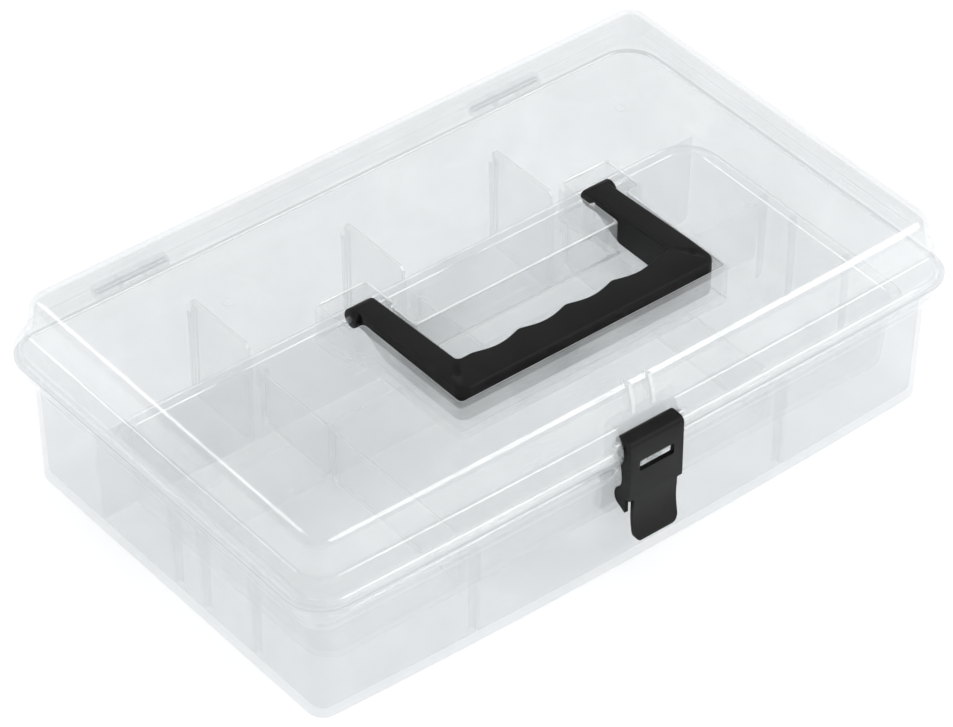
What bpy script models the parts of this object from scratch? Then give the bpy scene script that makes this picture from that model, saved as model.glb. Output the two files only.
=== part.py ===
# Clear plastic toolbox with a lift-out tray, a folding handle and a front latch.
# Metres, +Z up. Origin: centre of the tub's underside. +X runs along the front, +Y to the hinges.

import math

import bmesh
import bpy
from mathutils import Matrix, Vector

for old in list(bpy.data.objects):
    bpy.data.objects.remove(old, do_unlink=True)

# ---- driving dimensions -------------------------------------------------------------

wall_length = 0.3084        # tub, outside, at the top of its straight wall
wall_width = 0.1850
wall_height = 0.0464        # floor underside to where the flare starts
wall_thickness = 0.0020
floor_thickness = 0.0020
floor_fillet = 0.0030
wall_draft = 0.0012         # each wall leans out this much over its height
corner_radius = 0.0085      # plan radius at the top of the straight wall
front_bow_low = 0.0035      # the front wall is crowned outwards
front_bow_high = 0.0015
rim_height = 0.0159         # height of the flare above the straight wall
rim_overhang = 0.0074       # how far the flare reaches out
lip_height = 0.0022
lip_thickness = 0.0014
lip_clearance = 0.0004

lid_gap = 0.0004            # parting line between tub and lid
lid_rise = 0.0323           # parting line to the top of the lid
lid_thickness = 0.0020
lid_edge = 0.0022           # wall at the lid's lower edge
lid_front_slope = 0.0045    # the lid's front leans back this much more

hinge_spacing = 0.1900
hinge_radius = 0.0034
hinge_offset = 0.0043       # axis behind the rim's outer edge
knuckle_lid = 0.0114
knuckle_tub = 0.0110
knuckle_gap = 0.0003
hinge_pin_radius = 0.00125
pin_clearance = 0.00006

rear_row_depth = 0.0400     # clear depth of the row of deep boxes at the back
partition_thickness = 0.0020
partition_height = 0.0456
divider_count = 3
divider_pitch = 0.0770
divider_thickness = 0.0016
divider_slot_clearance = 0.0003
divider_end_clearance = 0.0003
rear_divider_height = 0.0500
guide_rib = 0.0012
ledge_width = 0.0020
ledge_depth = 0.0050

tray_depth = 0.0303
tray_wall = 0.0016
tray_draft = 0.0020
tray_rim_reach = 0.0044
tray_rim_thickness = 0.0018
tray_side_clearance = 0.0018
tray_front_clearance = 0.0011
tray_corner = 0.0120
tray_fillet = 0.0015
tray_rest_gap = 0.0003
tray_wall_place = 0.0020    # tray's long wall, in front of the tub's middle
tray_divider_height = 0.0255

handle_width = 0.1264
handle_reach = 0.0643       # front edge of the grip, in front of the middle
grip_inner = 0.0485
arm_width = 0.0107
handle_height = 0.0165
handle_proud = 0.0026       # grip's top above the lid's top; the arms slope down to the pivot
handle_pivot_y = 0.0010     # pivot, behind the middle
handle_pivot_drop = 0.0037  # pivot below the lid's top
arm_rise_start = 0.0190     # the arms' underside is level up to here, ahead of the pivot
barrel_radius = 0.0040
barrel_length = 0.0018      # how far the barrel stands out beside the arm
boss_radius = 0.0024
boss_clearance = 0.00008
boss_reach = 0.0060         # how far the lid's boss enters the barrel
scallop_pitch = 0.0230
scallop_depth = 0.0025
recess_clearance = 0.0018
recess_depth = 0.0160
recess_wall = 0.0020
well_back = 0.0205
pocket_back = 0.0118
pocket_front = 0.0074
pocket_side_gap = 0.0067

latch_width = 0.0264
latch_drop = 0.0470         # pin to the tip of the tongue
latch_plate = 0.0022
latch_cheek = 0.0018
latch_barrel = 0.0033
latch_pin_radius = 0.0015
latch_pin_above = 0.0048    # pin above the lid's lower edge
latch_pin_in = 0.0031       # pin behind the band's outermost line
latch_back_gap = 0.0004
latch_side_gap = 0.0013
tongue_width = 0.0216
window_width = 0.0170
window_height = 0.0050
tooth_gap = 0.0003
notch_wall = 0.0022

gate_mark_radius = 0.0022
gate_mark_height = 0.0005
gate_spacing_x = 0.1960
gate_front = 0.0440
gate_back = 0.0345

arc_steps = 5
front_steps = 8

# ---- derived places -----------------------------------------------------------------

rim_z = wall_height + rim_height
lid_z = rim_z + lid_gap
top_z = lid_z + lid_rise
half_x = wall_length / 2
half_y = wall_width / 2
hinge_y = half_y + rim_overhang + hinge_offset
hinge_z = rim_z + lid_gap / 2
inner_back = half_y - wall_thickness
partition_y = inner_back - rear_row_depth - partition_thickness / 2
divider_places = [(i - (divider_count - 1) / 2) * divider_pitch for i in range(divider_count)]
divider_names = ["left", "centre", "right"]
tray_rim_under = partition_height + tray_rest_gap
tray_rim_top = tray_rim_under + tray_rim_thickness
tray_floor_z = tray_rim_top - tray_depth
tray_half_x = half_x - wall_thickness - tray_side_clearance
tray_front_y = -(half_y - wall_thickness - tray_front_clearance)
tray_back_y = partition_y + partition_thickness / 2 - divider_slot_clearance
tray_mid_y = (tray_front_y + tray_back_y) / 2
tray_half_y = (tray_back_y - tray_front_y) / 2
pivot_y = handle_pivot_y
pivot_z = top_z - handle_pivot_drop
handle_top = top_z + handle_proud
handle_bottom = handle_top - handle_height
recess_z = top_z - recess_depth
recess_half_x = handle_width / 2 + recess_clearance
recess_front_y = -(handle_reach + recess_clearance)
arm_inner = handle_width / 2 - arm_width
pocket_half_x = handle_width / 2 + barrel_length + pocket_side_gap
band_y = -(half_y + rim_overhang + front_bow_high)
latch_y = band_y + latch_pin_in
latch_z = lid_z + latch_pin_above
notch_y = latch_y + latch_barrel + latch_back_gap
notch_half_x = latch_width / 2 + latch_side_gap
notch_top = latch_z + 0.0075
plate_back_y = latch_y - latch_barrel - 0.0003
plate_front_y = plate_back_y - latch_plate
tongue_z = latch_z - latch_drop
window_z = latch_z - 0.0098

# ---- collections and materials ------------------------------------------------------

parts = bpy.data.collections.new("toolbox")
tools = bpy.data.collections.new("cutters")
bpy.context.scene.collection.children.link(parts)
bpy.context.scene.collection.children.link(tools)


def make_material(name, color, roughness, metallic=0.0, alpha=1.0):
    mat = bpy.data.materials.new(name)
    mat.use_nodes = True
    shader = mat.node_tree.nodes["Principled BSDF"]
    shader.inputs["Base Color"].default_value = (*color, 1.0)
    shader.inputs["Roughness"].default_value = roughness
    shader.inputs["Metallic"].default_value = metallic
    shader.inputs["Alpha"].default_value = alpha
    return mat


def put(obj, mat=None, collection=parts):
    collection.objects.link(obj)
    if mat is not None:
        obj.data.materials.append(mat)
    return obj


def shade(mesh):
    mesh.shade_smooth()
    mesh.set_sharp_from_angle(angle=math.radians(32))


def object_from(bm, name, mat=None, origin=(0, 0, 0), cutter=False):
    """Turns a bmesh into an object whose origin is the given point."""
    bmesh.ops.recalc_face_normals(bm, faces=bm.faces)
    bmesh.ops.translate(bm, verts=bm.verts, vec=-Vector(origin))
    mesh = bpy.data.meshes.new(name)
    bm.to_mesh(mesh)
    bm.free()
    obj = bpy.data.objects.new(name, mesh)
    obj.location = origin
    if cutter:
        obj.display_type = "WIRE"
        obj.hide_render = True
        return put(obj, None, tools)
    return put(obj, mat)


def boolean(obj, operation, other):
    mod = obj.modifiers.new(operation.lower() + "_" + other.name, "BOOLEAN")
    mod.operation = operation
    mod.solver = "EXACT"
    mod.object = other
    return mod


# ---- shape helpers ------------------------------------------------------------------

def add_box(bm, low, high):
    """Adds a box between two corners."""
    centre = [(a + b) / 2 for a, b in zip(low, high)]
    size = [b - a for a, b in zip(low, high)]
    place = Matrix.Translation(centre) @ Matrix.Diagonal((*size, 1.0))
    bmesh.ops.create_cube(bm, size=1.0, matrix=place)


def add_rod(bm, x_low, x_high, y, z, radius, steps=24):
    """Adds a cylinder that lies along X."""
    turn = Matrix.Rotation(math.radians(90), 4, "Y")
    place = Matrix.Translation(((x_low + x_high) / 2, y, z)) @ turn
    bmesh.ops.create_cone(bm, cap_ends=True, segments=steps, radius1=radius, radius2=radius,
                          depth=x_high - x_low, matrix=place)


def box_tool(name, *pairs):
    bm = bmesh.new()
    for low, high in pairs:
        add_box(bm, low, high)
    return object_from(bm, name, cutter=True)


def rod_tool(name, *rods):
    bm = bmesh.new()
    for rod in rods:
        add_rod(bm, *rod)
    return object_from(bm, name, cutter=True)


def add_outline(bm, points, axis, low, high):
    """Fills a flat outline and pushes it along one axis from low to high.
    The outline's two numbers are the other two axes in order."""
    order = {"X": (1, 2), "Y": (0, 2), "Z": (0, 1)}[axis]
    along = "XYZ".index(axis)
    verts = []
    for a, b in points:
        place = [0.0, 0.0, 0.0]
        place[order[0]] = a
        place[order[1]] = b
        place[along] = low
        verts.append(bm.verts.new(place))
    face = bm.faces.new(verts)
    pushed = bmesh.ops.extrude_face_region(bm, geom=[face])
    moved = [v for v in pushed["geom"] if isinstance(v, bmesh.types.BMVert)]
    step = [0.0, 0.0, 0.0]
    step[along] = high - low
    bmesh.ops.translate(bm, verts=moved, vec=step)


def round_corners(points, radius, steps=4):
    """Rounds each corner of an outline; a radius may be one number or one for each corner."""
    result = []
    count = len(points)
    for i, corner in enumerate(points):
        r = radius[i] if isinstance(radius, (list, tuple)) else radius
        here = Vector(corner)
        if r <= 0:
            result.append(tuple(here))
            continue
        back = (Vector(points[i - 1]) - here).normalized()
        ahead = (Vector(points[(i + 1) % count]) - here).normalized()
        half_angle = back.angle(ahead) / 2
        reach = r / math.tan(half_angle)
        middle = here + (back + ahead).normalized() * (r / math.sin(half_angle))
        start = here + back * reach - middle
        finish = here + ahead * reach - middle
        turn = math.atan2(start.x * finish.y - start.y * finish.x, start.dot(finish))
        for k in range(steps + 1):
            spin = Matrix.Rotation(turn * k / steps, 2)
            result.append(tuple(middle + spin @ start))
    return result


def offset_outline(points, distance):
    """Moves every side of a counter-clockwise outline outwards."""
    result = []
    count = len(points)
    for i in range(count):
        here = Vector(points[i])
        along_in = (here - Vector(points[i - 1])).normalized()
        along_out = (Vector(points[(i + 1) % count]) - here).normalized()
        normal_in = Vector((along_in.y, -along_in.x))
        normal_out = Vector((along_out.y, -along_out.x))
        middle = (normal_in + normal_out).normalized()
        result.append(tuple(here + middle * (distance / middle.dot(normal_in))))
    return result


def ring(outset, z, bow, front_in=0.0, reach=None, radius=None, middle=0.0):
    """Points round a rounded rectangle. The front side (-Y) is crowned by bow and may sit
    further in by front_in."""
    hx, hy = reach if reach else (half_x, half_y)
    hx += outset
    hy += outset
    r = max((corner_radius if radius is None else radius) + outset, 0.0012)
    points = []
    corners = [(hx - r, hy - r, 0), (-hx + r, hy - r, 90), (-hx + r, -hy + r + front_in, 180),
               (hx - r, -hy + r + front_in, 270)]
    for index, (cx, cy, start) in enumerate(corners):
        for k in range(arc_steps + 1):
            angle = math.radians(start + 90 * k / arc_steps)
            points.append([cx + r * math.cos(angle), cy + r * math.sin(angle)])
        if index == 2:
            for k in range(1, front_steps):
                share = k / front_steps
                points.append([cx + (2 * (hx - r)) * share, -hy + front_in])
    for p in points:
        if p[1] < 0:
            p[1] -= bow * (1 - (p[0] / hx) ** 2) * min(1.0, -p[1] / (hy - r))
    return [(x, y + middle, z) for x, y in points]


def loft(bm, rings, close_first=True, close_last=True):
    """Joins a stack of rings that have the same number of points into one skin."""
    loops = [[bm.verts.new(p) for p in points] for points in rings]
    count = len(loops[0])
    for lower, upper in zip(loops, loops[1:]):
        for i in range(count):
            j = (i + 1) % count
            bm.faces.new((lower[i], lower[j], upper[j], upper[i]))
    if close_first:
        bm.faces.new(loops[0])
    if close_last:
        bm.faces.new(loops[-1])
    bmesh.ops.triangulate(bm, faces=[f for f in bm.faces if len(f.verts) > 4])


# ---- wall profiles ------------------------------------------------------------------

def bow_at(z):
    """The front wall's crown, which fades from the floor up to the rim."""
    share = min(1.0, z / rim_z)
    return front_bow_low + (front_bow_high - front_bow_low) * share


def tub_outer():
    """Outset and height down the tub's outside, from the floor up to the rim."""
    lean = wall_draft
    rows = [(-lean - 0.0015, 0.0), (-lean - 0.0005, 0.0004), (-lean, 0.0016), (0.0, wall_height)]
    for share, out in ((0.13, 0.11), (0.46, 0.49), (0.76, 0.76), (0.92, 0.94), (1.0, 1.0)):
        rows.append((rim_overhang * out, wall_height + rim_height * share))
    return rows


def tub_inner():
    """Outset and height down the tub's inside, from the lip to the floor."""
    lip_out = rim_overhang - lid_edge - lip_clearance
    rows = [(lip_out, rim_z), (lip_out, rim_z + lip_height - 0.0004),
            (lip_out - 0.0004, rim_z + lip_height), (lip_out - lip_thickness, rim_z + lip_height)]
    slant = wall_thickness * 1.3
    for share, out in ((0.88, 0.86), (0.46, 0.49), (0.10, 0.09)):
        rows.append((rim_overhang * out - slant, wall_height + rim_height * share))
    rows.append((-wall_thickness, wall_height - 0.002))
    low = floor_thickness
    foot = -wall_thickness - wall_draft
    rows += [(foot, low + floor_fillet), (foot - floor_fillet * 0.28, low + floor_fillet * 0.28),
             (foot - floor_fillet, low)]
    return rows


def lid_outer():
    """Outset, height and extra front lean, from the lid's lower edge up to its flat top."""
    r = rim_overhang
    side = lid_z + 0.0125
    top = top_z
    slope = lid_front_slope
    return [(r - 0.0002, lid_z, 0), (r + 0.0001, lid_z + 0.0015, 0), (r - 0.0001, lid_z + 0.0033, 0),
            (r * 0.84, lid_z + 0.0063, 0), (r * 0.58, lid_z + 0.0093, 0),
            (r * 0.35, lid_z + 0.0119, 0), (r * 0.22, side, 0),
            (0.0002, top - 0.0085, slope * 0.27), (-0.0020, top - 0.0052, slope * 0.55),
            (-0.0057, top - 0.0032, slope * 0.78), (-0.0095, top - 0.0016, slope * 0.9),
            (-0.0145, top - 0.0005, slope * 0.98), (-0.0200, top, slope)]


def lid_inner():
    r = rim_overhang
    t = lid_thickness
    side = lid_z + 0.0125
    top = top_z - t
    slope = lid_front_slope
    return [(-0.0205, top, slope), (-0.0152, top - 0.0004, slope * 0.98),
            (-0.0106, top - 0.0014, slope * 0.9), (-0.0072, top - 0.0029, slope * 0.78),
            (-0.0039, top - 0.0046, slope * 0.55), (-0.0018, top - 0.0070, slope * 0.27),
            (r * 0.22 - t, side - 0.0003, 0), (r * 0.35 - t * 1.1, lid_z + 0.0107, 0),
            (r * 0.58 - t * 1.15, lid_z + 0.0080, 0), (r * 0.84 - t * 1.1, lid_z + 0.0052, 0),
            (r - lid_edge, lid_z + 0.0028, 0), (r - lid_edge, lid_z, 0)]


# ---- the tub ------------------------------------------------------------------------

def add_knuckle(bm, x_low, x_high, z_low, z_high, y_in, steps=20):
    """A hinge eye on a short arm: the side outline is pushed along X."""
    first = math.pi - math.asin((z_low - hinge_z) / hinge_radius)
    last = 3 * math.pi - math.asin((z_high - hinge_z) / hinge_radius)
    points = [(y_in, z_high), (y_in, z_low)]
    for k in range(steps + 1):
        angle = first + (last - first) * k / steps
        points.append((hinge_y + hinge_radius * math.cos(angle),
                       hinge_z + hinge_radius * math.sin(angle)))
    add_outline(bm, points, "X", x_low, x_high)


def hinge_spans():
    """X ranges of the knuckles at each hinge: tub's two outer ones and the lid's middle one."""
    spans = []
    for sign in (-1, 1):
        x = sign * hinge_spacing / 2
        half = knuckle_lid / 2
        outer = half + knuckle_gap
        spans.append(((x - outer - knuckle_tub, x - outer), (x - half, x + half),
                      (x + outer, x + outer + knuckle_tub)))
    return spans


def make_tub(mat):
    bm = bmesh.new()
    rings = [ring(o, z, bow_at(z)) for o, z in tub_outer()]
    rings += [ring(o, z, bow_at(z)) for o, z in tub_inner()]
    loft(bm, rings)
    tub = object_from(bm, "base_tub", mat)

    # long wall that closes off the rear row; its ends follow the drafted side walls
    low = floor_thickness * 0.6
    half_p = partition_thickness / 2
    fill = hull_tool("tub_fill", tub_outer(), -wall_thickness * 0.3)
    wall = box_tool("tub_partition", ((-half_x, partition_y - half_p, low),
                                      (half_x, partition_y + half_p, partition_height)))
    boolean(wall, "INTERSECT", fill)
    boolean(tub, "UNION", wall)

    # guide ribs for the slide-in dividers, on the back wall and on the long wall
    ribs = []
    gap = divider_thickness / 2 + divider_slot_clearance
    for x in divider_places:
        for side in (-1, 1):
            x1 = x + side * gap
            x2 = x1 + side * guide_rib
            a, b = min(x1, x2), max(x1, x2)
            ribs.append(((a, inner_back - wall_draft - guide_rib, low),
                         (b, half_y - (wall_thickness + wall_draft) / 2, partition_height)))
            ribs.append(((a, partition_y + half_p - 0.0005, low + 0.0001),
                         (b, partition_y + half_p + guide_rib, partition_height - 0.001)))
    boolean(tub, "UNION", box_tool("tub_ribs", *ribs))

    # ledges that carry the tray's rim at the ends and along the front
    ledges = []
    for y in (0.002, -0.016, -0.048):
        for side in (-1, 1):
            x1 = side * (half_x + 0.002)
            x2 = side * (half_x - wall_thickness - ledge_depth)
            ledges.append(((min(x1, x2), y - ledge_width / 2, low),
                           (max(x1, x2), y + ledge_width / 2, partition_height)))
    for x in divider_places[::2]:
        ledges.append(((x - ledge_width / 2, -half_y - front_bow_low - 0.002, low),
                       (x + ledge_width / 2, -(half_y - wall_thickness - 0.0036),
                        partition_height)))
    props = box_tool("tub_ledges", *ledges)
    boolean(props, "INTERSECT", fill)
    boolean(tub, "UNION", props)

    # the flare steps back behind the latch, with the catch tooth in the middle
    block = box_tool("tub_notch_block",
                     ((-notch_half_x - notch_wall, band_y - 0.004, wall_height - 0.001),
                      (notch_half_x + notch_wall, notch_y + notch_wall, rim_z - 0.0004)))
    boolean(block, "INTERSECT", hull_tool("tub_hull", tub_outer(), -0.0003))
    boolean(tub, "UNION", block)
    boolean(tub, "DIFFERENCE", box_tool("tub_notch", ((-notch_half_x, band_y - 0.01,
                                        wall_height - 0.0010), (notch_half_x, notch_y, rim_z + 0.004))))
    clear_x = notch_half_x + notch_wall + lip_clearance
    boolean(tub, "DIFFERENCE", box_tool("lip_gap", (
        (-clear_x, band_y, rim_z + 0.0002),
        (clear_x, notch_y + notch_wall + 0.002, rim_z + lip_height + 0.001))))
    tooth = bmesh.new()
    tip = plate_back_y + tooth_gap
    outline = [(notch_y + 0.001, window_z - 0.0052), (notch_y + 0.001, window_z + 0.0012),
               (tip + 0.0012, window_z + 0.0012), (tip, window_z), (tip, window_z - 0.0008)]
    half_tooth = window_width / 2 - 0.0010
    add_outline(tooth, outline, "X", -half_tooth, half_tooth)
    boolean(tub, "UNION", object_from(tooth, "catch_tooth", cutter=True))

    # two outer knuckles at each hinge
    eyes = bmesh.new()
    for left, _, right in hinge_spans():
        for a, b in (left, right):
            add_knuckle(eyes, a, b, hinge_z - 0.0031, rim_z - 0.0002,
                        half_y + rim_overhang - 0.0028)
    boolean(tub, "UNION", object_from(eyes, "tub_knuckles", cutter=True))
    hole = hinge_pin_radius + pin_clearance
    reach = knuckle_lid / 2 + knuckle_gap + knuckle_tub + 0.002
    boolean(tub, "DIFFERENCE", rod_tool("tub_pin_holes", *[
        (s * hinge_spacing / 2 - reach, s * hinge_spacing / 2 + reach, hinge_y, hinge_z, hole)
        for s in (-1, 1)]))
    return tub


def hull_tool(name, rows, shift):
    """The filled outer form, a little inside the real surface."""
    bm = bmesh.new()
    rings = []
    for row in rows:
        front_in = row[2] if len(row) > 2 else 0.0
        rings.append(ring(row[0] + shift, row[1], bow_at(row[1]), front_in))
    loft(bm, rings)
    return object_from(bm, name, cutter=True)


# ---- the lid ------------------------------------------------------------------------

def recess_outline():
    """Plan of the sunk area: grip and finger well, two arm slots and two pivot pockets."""
    inner = arm_inner - recess_clearance + 0.0001
    pocket_in = inner - 0.0015
    right = [(recess_half_x, recess_front_y), (recess_half_x, -pocket_front),
             (pocket_half_x, -pocket_front), (pocket_half_x, pocket_back),
             (pocket_in, pocket_back), (pocket_in, -pocket_front + 0.001),
             (inner, -pocket_front + 0.001), (inner, -well_back)]
    left = [(-x, y) for x, y in reversed(right)]
    return right + left


def make_lid(mat):
    bm = bmesh.new()
    rings = [ring(o, z, front_bow_high, f) for o, z, f in lid_inner()]
    rings += [ring(o, z, front_bow_high, f) for o, z, f in lid_outer()]
    loft(bm, rings)
    lid = object_from(bm, "lid_shell", mat, origin=(0, hinge_y, hinge_z))

    pan = bmesh.new()
    add_outline(pan, offset_outline(recess_outline(), recess_wall), "Z",
                recess_z - recess_wall, top_z - lid_thickness / 2)
    boolean(lid, "UNION", object_from(pan, "recess_pan", cutter=True))
    hollow = bmesh.new()
    add_outline(hollow, round_corners(recess_outline(), 0.0014, 2), "Z", recess_z, top_z + 0.01)
    boolean(lid, "DIFFERENCE", object_from(hollow, "recess_hollow", cutter=True))
    # a boss on each pocket's side wall carries the handle
    bosses = []
    for s in (-1, 1):
        a = s * (handle_width / 2 + barrel_length - boss_reach)
        b = s * (pocket_half_x + recess_wall / 2)
        bosses.append((min(a, b), max(a, b), pivot_y, pivot_z, boss_radius))
    boolean(lid, "UNION", rod_tool("pivot_bosses", *bosses))

    # notch for the latch, with closed side walls that hold its pin
    block = box_tool("lid_notch_block",
                     ((-notch_half_x - notch_wall, band_y - 0.004, lid_z + 0.0004),
                      (notch_half_x + notch_wall, notch_y + notch_wall, notch_top + 0.002)))
    hull_rows = [(o, z, f) for o, z, f in lid_outer()]
    boolean(block, "INTERSECT", hull_tool("lid_hull", hull_rows, -0.0003))
    boolean(lid, "UNION", block)
    boolean(lid, "DIFFERENCE", box_tool("lid_notch", ((-notch_half_x, band_y - 0.01, lid_z - 0.004),
                                                     (notch_half_x, notch_y, notch_top))))
    hole = latch_pin_radius + pin_clearance
    reach = notch_half_x + notch_wall + 0.002
    boolean(lid, "DIFFERENCE", rod_tool("latch_pin_hole", (-reach, reach, latch_y, latch_z, hole)))

    # two short ribs above the latch
    ribs = bmesh.new()
    for x in (-0.005, 0.005):
        foot = notch_y + 0.003
        outline = [(foot, notch_top + 0.0005), (notch_y - 0.0008, notch_top + 0.0010),
                   (notch_y - 0.0008, notch_top + 0.0060), (notch_y + 0.0020, top_z - 0.0058),
                   (foot + 0.004, top_z - 0.0062)]
        add_outline(ribs, outline, "X", x - 0.0008, x + 0.0008)
    boolean(lid, "UNION", object_from(ribs, "lid_latch_ribs", cutter=True))

    # four moulding gate marks on the top
    marks = bmesh.new()
    for x in (-gate_spacing_x / 2, gate_spacing_x / 2):
        for y in (-gate_front, gate_back):
            place = Matrix.Translation((x, y, top_z + gate_mark_height - 0.0008))
            bmesh.ops.create_cone(marks, cap_ends=True, segments=12, radius1=gate_mark_radius,
                                  radius2=gate_mark_radius * 0.8, depth=0.0016, matrix=place)
    boolean(lid, "UNION", object_from(marks, "gate_marks", cutter=True))

    eyes = bmesh.new()
    for _, (a, b), _ in hinge_spans():
        add_knuckle(eyes, a, b, lid_z + 0.00025, hinge_z + 0.0031,
                    half_y + rim_overhang - 0.0015)
    boolean(lid, "UNION", object_from(eyes, "lid_knuckles", cutter=True))
    pin_hole = hinge_pin_radius + pin_clearance
    boolean(lid, "DIFFERENCE", rod_tool("lid_pin_holes", *[
        (s * hinge_spacing / 2 - 0.01, s * hinge_spacing / 2 + 0.01, hinge_y, hinge_z, pin_hole)
        for s in (-1, 1)]))
    return lid


# ---- handle -------------------------------------------------------------------------

def handle_outline():
    """Plan of the handle: two arms and a grip whose inner edge has finger scallops."""
    hw = handle_width / 2
    back = pivot_y + barrel_radius - 0.0002
    outer = round_corners([(hw, back), (-hw, back), (-hw, -handle_reach), (hw, -handle_reach)],
                          [0, 0, 0.005, 0.005], 5)
    left = [p for p in outer]
    points = [(-arm_inner, back)]
    points += [(-hw, back)] + left[2:8] + left[8:14] + [(hw, back), (arm_inner, back)]
    points.append((arm_inner, -grip_inner + 0.0015))
    points.append((arm_inner - 0.0015, -grip_inner))
    count = 4
    span = count * scallop_pitch
    steps = count * 6
    for k in range(steps + 1):
        share = k / steps
        x = span / 2 - span * share
        wave = abs(math.sin(math.pi * share * count))
        points.append((x, -grip_inner - scallop_depth * wave))
    points.append((-arm_inner + 0.0015, -grip_inner))
    points.append((-arm_inner, -grip_inner + 0.0015))
    return points


def handle_side():
    """Side view of the handle: the arms slope down from the grip to a round end at the pivot."""
    front = -handle_reach
    r = barrel_radius
    points = [(front, handle_bottom + 0.0012), (front + 0.0012, handle_bottom),
              (pivot_y - arm_rise_start, handle_bottom), (pivot_y - 0.006, pivot_z - r * 0.85)]
    for k in range(13):
        angle = math.radians(-80 + 172 * k / 12)
        points.append((pivot_y + r * math.cos(angle), pivot_z + r * math.sin(angle)))
    points += [(-grip_inner, handle_top), (front + 0.0012, handle_top), (front, handle_top - 0.0012)]
    return points


def make_handle(mat):
    pivot = (0, pivot_y, pivot_z)
    bm = bmesh.new()
    add_outline(bm, handle_outline(), "Z", handle_bottom - 0.002, handle_top + 0.002)
    handle = object_from(bm, "carry_handle", mat, origin=pivot)
    side = bmesh.new()
    add_outline(side, handle_side(), "X", -handle_width, handle_width)
    boolean(handle, "INTERSECT", object_from(side, "handle_side", cutter=True))
    hw = handle_width / 2
    rods, bores = [], []
    for s in (-1, 1):
        a, b = s * (arm_inner + 0.002), s * (hw + barrel_length)
        rods.append((min(a, b), max(a, b), pivot_y, pivot_z, barrel_radius))
        a, b = s * (hw + barrel_length - boss_reach - 0.0004), s * (hw + barrel_length + 0.001)
        bores.append((min(a, b), max(a, b), pivot_y, pivot_z, boss_radius + boss_clearance))
    boolean(handle, "UNION", rod_tool("handle_barrels", *rods))
    boolean(handle, "DIFFERENCE", rod_tool("handle_bores", *bores))
    return handle


# ---- latch --------------------------------------------------------------------------

def latch_side():
    """Side view of the latch: round top, straight hood, tongue and a lobe on each cheek."""
    y, z, r = latch_y, latch_z, latch_barrel
    front, back = plate_front_y, plate_back_y
    points = []
    for k in range(8):
        angle = math.radians(0 + 90 * k / 7)
        points.append((y + r * math.cos(angle), z + r * math.sin(angle)))
    points += [(front + 0.0022, z + r - 0.0001), (front + 0.0008, z + r - 0.0008),
               (front, z + r - 0.0022), (front, z - 0.0260), (front + 0.0004, z - 0.0320),
               (front - 0.0002, z - 0.0400), (front - 0.0016, tongue_z + 0.0006),
               (front - 0.0010, tongue_z), (front + 0.0006, tongue_z + 0.0004),
               (back - 0.0004, z - 0.0400), (back + 0.0002, z - 0.0330)]
    edge = y + r
    points += [(edge - 0.0036, z - 0.0312), (edge - 0.0012, z - 0.0298), (edge - 0.0001, z - 0.0270),
               (edge - 0.0008, z - 0.0235), (edge - 0.0034, z - 0.0205), (edge - 0.0038, z - 0.0140),
               (edge - 0.0022, z - 0.0080), (edge - 0.0003, z - 0.0040)]
    return points


def make_latch(mat):
    pin = (0, latch_y, latch_z)
    half = latch_width / 2
    bm = bmesh.new()
    add_outline(bm, latch_side(), "X", -half, half)
    latch = object_from(bm, "latch_hasp", mat, origin=pin)
    inner = half - latch_cheek
    boolean(latch, "DIFFERENCE", box_tool("latch_hollow", (
        (-inner, plate_back_y, tongue_z - 0.01),
        (inner, latch_y + 0.01, latch_z - latch_barrel - 0.0008))))
    boolean(latch, "DIFFERENCE", box_tool("latch_window", (
        (-window_width / 2, plate_front_y - 0.01, window_z - window_height / 2),
        (window_width / 2, plate_back_y + 0.001, window_z + window_height / 2))))
    tw = tongue_width / 2
    shoulder = latch_z - 0.0255
    low = tongue_z - 0.004
    shape = round_corners([(half + 0.002, shoulder), (tw, shoulder), (tw, tongue_z),
                           (-tw, tongue_z), (-tw, shoulder), (-half - 0.002, shoulder),
                           (-half - 0.002, low), (half + 0.002, low)],
                          [0, 0, 0.004, 0.004, 0, 0, 0, 0], 4)
    bm = bmesh.new()
    add_outline(bm, shape, "Y", plate_front_y - 0.01, plate_back_y + 0.0006)
    boolean(latch, "DIFFERENCE", object_from(bm, "latch_tongue_cut", cutter=True))
    hole = latch_pin_radius + pin_clearance
    boolean(latch, "DIFFERENCE", rod_tool("latch_bore", (-half - 0.002, half + 0.002,
                                                         latch_y, latch_z, hole)))
    return latch


# ---- pins ---------------------------------------------------------------------------

def make_pins(mat):
    reach = knuckle_lid / 2 + knuckle_gap + knuckle_tub
    for name, s in (("hinge_pin_left", -1), ("hinge_pin_right", 1)):
        x = s * hinge_spacing / 2
        bm = bmesh.new()
        add_rod(bm, x - reach, x + reach, hinge_y, hinge_z, hinge_pin_radius)
        pin = object_from(bm, name, mat, origin=(x, hinge_y, hinge_z))
        shade(pin.data)
    reach = notch_half_x + notch_wall - 0.0003
    bm = bmesh.new()
    add_rod(bm, -reach, reach, latch_y, latch_z, latch_pin_radius)
    pin = object_from(bm, "latch_pin", mat, origin=(0, latch_y, latch_z))
    shade(pin.data)


# ---- tray and dividers --------------------------------------------------------------

def tray_ring(inset, z, radius):
    reach = (tray_half_x - inset, tray_half_y - inset)
    return ring(0.0, z, 0.0, reach=reach, radius=radius, middle=tray_mid_y)


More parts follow.
